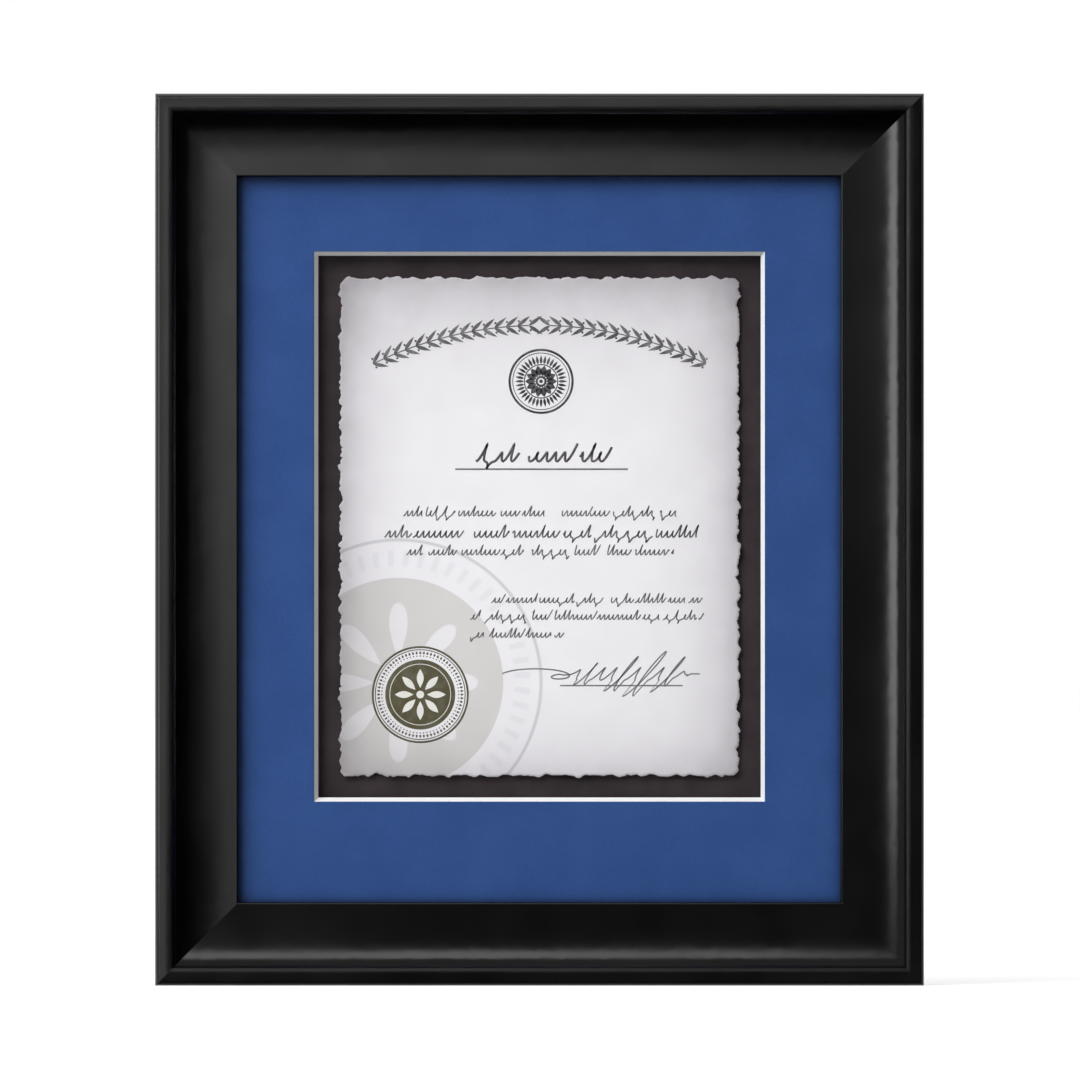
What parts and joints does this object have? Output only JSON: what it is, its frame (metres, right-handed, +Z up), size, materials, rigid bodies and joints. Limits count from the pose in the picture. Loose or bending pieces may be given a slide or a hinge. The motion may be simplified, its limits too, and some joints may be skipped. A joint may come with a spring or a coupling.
{
  "type": "certificate frame",
  "caption": "Wall-hung certificate frame: mitred black scoop moulding, glass, lifted window mat, floated sheet, boards held by turn buttons, D-ring hangers.",
  "frame": {"origin": "on the bottom edge, midway along the width and midway through the overall depth", "axes": "+X to the right as seen from the front, +Y to the wall, +Z up; the front faces -Y"},
  "size_m": [0.3924, 0.0354, 0.4553],
  "materials": {
    "moulding": "satin black lacquer on the front and sides, bare wood at the back",
    "nail_steel": "blued steel strip",
    "glazing": "clear picture glass",
    "mat_board": "matt blue surface paper on a white core",
    "foam_board": "matt white paper on foam",
    "sheet_paper": "heavy paper with torn edges, printed",
    "hinge_tissue": "long-fibred tissue",
    "dark_board": "matt charcoal surface paper",
    "hardboard": "smooth brown hardboard",
    "hardware_steel": "zinc-plated pressed steel",
    "screw_steel": "zinc-plated",
    "bumper_rubber": "matt black rubber"
  },
  "bodies": {
    "root": {"rail_top": "moulding", "rail_right": "moulding", "rail_bottom": "moulding", "rail_left": "moulding", "corner_v_nails": "nail_steel", "glass_pane": "glazing", "window_mat": "mat_board", "mat_lifter_top": "foam_board", "mat_lifter_bottom": "foam_board", "mat_lifter_left": "foam_board", "mat_lifter_right": "foam_board", "certificate_sheet": "sheet_paper", "hinge_tapes": "hinge_tissue", "float_board": "foam_board", "mount_board": "dark_board", "filler_board": "foam_board", "backing_board": "hardboard", "turn_button_screws": "screw_steel", "hanger_strap_left": "hardware_steel", "hanger_strap_right": "hardware_steel", "hanger_screws": "screw_steel", "wall_bumper_left": "bumper_rubber", "wall_bumper_right": "bumper_rubber"},
    "button_top": {"turn_button_top": "hardware_steel"},
    "button_bottom": {"turn_button_bottom": "hardware_steel"},
    "button_left_upper": {"turn_button_left_upper": "hardware_steel"},
    "button_left_lower": {"turn_button_left_lower": "hardware_steel"},
    "button_right_upper": {"turn_button_right_upper": "hardware_steel"},
    "button_right_lower": {"turn_button_right_lower": "hardware_steel"},
    "ring_left": {"hanger_ring_left": "hardware_steel"},
    "ring_right": {"hanger_ring_right": "hardware_steel"}
  },
  "joints": [
    {"name": "button_top_turn", "type": "hinge", "parent": "root", "child": "button_top", "pos_m": [0, 0.01407, 0.42835], "axis": [0, 1, 0], "continuous": true},
    {"name": "button_bottom_turn", "type": "hinge", "parent": "root", "child": "button_bottom", "pos_m": [0, 0.01407, 0.02695], "axis": [0, 1, 0], "continuous": true},
    {"name": "button_left_upper_turn", "type": "hinge", "parent": "root", "child": "button_left_upper", "pos_m": [-0.16925, 0.01407, 0.3779], "axis": [0, 1, 0], "continuous": true},
    {"name": "button_left_lower_turn", "type": "hinge", "parent": "root", "child": "button_left_lower", "pos_m": [-0.16925, 0.01407, 0.0774], "axis": [0, 1, 0], "continuous": true},
    {"name": "button_right_upper_turn", "type": "hinge", "parent": "root", "child": "button_right_upper", "pos_m": [0.16925, 0.01407, 0.3779], "axis": [0, 1, 0], "continuous": true},
    {"name": "button_right_lower_turn", "type": "hinge", "parent": "root", "child": "button_right_lower", "pos_m": [0.16925, 0.01407, 0.0774], "axis": [0, 1, 0], "continuous": true},
    {"name": "ring_left_swing", "type": "hinge", "parent": "root", "child": "ring_left", "pos_m": [-0.1782, 0.0155, 0.30368], "axis": [-1, 0, 0], "range_deg": [0, 178]},
    {"name": "ring_right_swing", "type": "hinge", "parent": "root", "child": "ring_right", "pos_m": [0.1782, 0.0155, 0.30368], "axis": [-1, 0, 0], "range_deg": [0, 178]}
  ]
}
